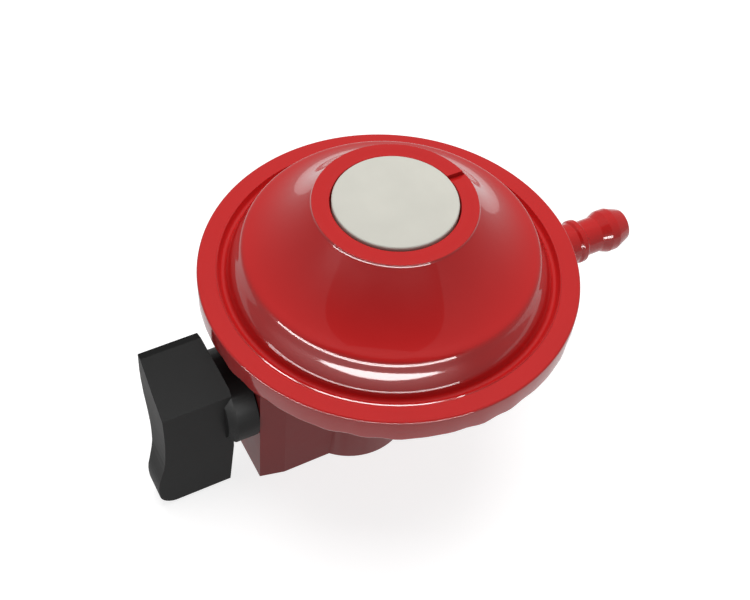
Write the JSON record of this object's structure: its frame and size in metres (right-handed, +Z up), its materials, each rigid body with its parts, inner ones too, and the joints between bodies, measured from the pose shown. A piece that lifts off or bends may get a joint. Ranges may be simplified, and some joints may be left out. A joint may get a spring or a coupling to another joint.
{
  "type": "low-pressure gas regulator",
  "caption": "Clip-on low-pressure gas regulator: round diaphragm chamber with a domed cover and cap, a side turn knob on a cam block, an inlet socket below and a hose nozzle.",
  "frame": {"origin": "centre of the inlet socket's mouth, in the plane the part stands on", "axes": "+Z up along the socket's axis towards the cover, +X along the hose nozzle, away from the knob"},
  "size_m": [0.1146, 0.0768, 0.0627],
  "materials": {
    "black_plastic": "fine matte",
    "brass": "machined",
    "gauze": "woven wire",
    "red_paint": "gloss",
    "rubber": "matte",
    "silver_cap": "satin",
    "spring_steel": "drawn wire",
    "steel": "zinc plated"
  },
  "bodies": {
    "regulator": {"body_casting": "red_paint", "top_cover": "red_paint", "cap": "silver_cap", "lever_pin": "steel", "valve_jet": "brass", "jet_filter": "gauze", "hose_nozzle": "red_paint", "spindle_bush": "brass", "claw_pin": "steel", "inlet_seal": "rubber", "chamber_plug": "red_paint", "plug_seal": "rubber", "base_plate": "red_paint", "base_screws": "steel"},
    "knob": {"knob": "black_plastic", "knob_screw": "steel", "spindle": "steel", "spindle_clip": "steel", "spindle_seal": "rubber", "lock_cam": "brass"},
    "push_pin": {"push_pin": "steel", "pin_spring": "spring_steel"},
    "lock_claw": {"lock_claw": "steel"},
    "diaphragm": {"diaphragm_plate": "steel", "diaphragm": "rubber", "diaphragm_washer": "steel", "diaphragm_stem": "brass", "main_spring": "spring_steel"},
    "lever": {"lever": "steel", "valve_pad": "rubber"},
    "spring_seat": {"spring_seat": "steel"},
    "adjuster": {"adjuster": "brass"}
  },
  "joints": [
    {"name": "knob_turn", "type": "hinge", "parent": "regulator", "child": "knob", "pos_m": [-0.025, 0, 0.0217], "axis": [-1, 0, 0], "range_deg": [0, 90]},
    {"name": "pin_travel", "type": "slide", "parent": "regulator", "child": "push_pin", "axis": [0, 0, -1], "range_m": [0, 0.0025], "deforming": ["pin_spring"]},
    {"name": "claw_swing", "type": "hinge", "parent": "regulator", "child": "lock_claw", "pos_m": [-0.0148, 0, 0.009], "axis": [0, -1, 0], "range_deg": [0, 15]},
    {"name": "diaphragm_travel", "type": "slide", "parent": "regulator", "child": "diaphragm", "axis": [0, 0, 1], "range_m": [0, 0.0012], "stiffness_N_per_m": 600, "springref_m": -0.004, "deforming": ["main_spring", "diaphragm"]},
    {"name": "lever_swing", "type": "hinge", "parent": "regulator", "child": "lever", "pos_m": [-0.004, 0, 0.0373], "axis": [0, -1, 0], "range_deg": [0, 6]},
    {"name": "seat_travel", "type": "slide", "parent": "regulator", "child": "spring_seat", "axis": [0, 0, 1], "range_m": [0, 0.0015]},
    {"name": "adjuster_turn", "type": "hinge", "parent": "spring_seat", "child": "adjuster", "pos_m": [0.0075, 0, 0.0545], "axis": [0, 0, 1], "range_deg": [0, 360]}
  ],
  "couplings": [
    {"joint": "pin_travel", "follows": "knob_turn", "m_per_rad": 0.0015915},
    {"joint": "claw_swing", "follows": "knob_turn", "ratio": 0.16666},
    {"joint": "lever_swing", "follows": "diaphragm_travel", "rad_per_m": 86.95},
    {"joint": "seat_travel", "follows": "adjuster_turn", "m_per_rad": 0.00023873}
  ]
}
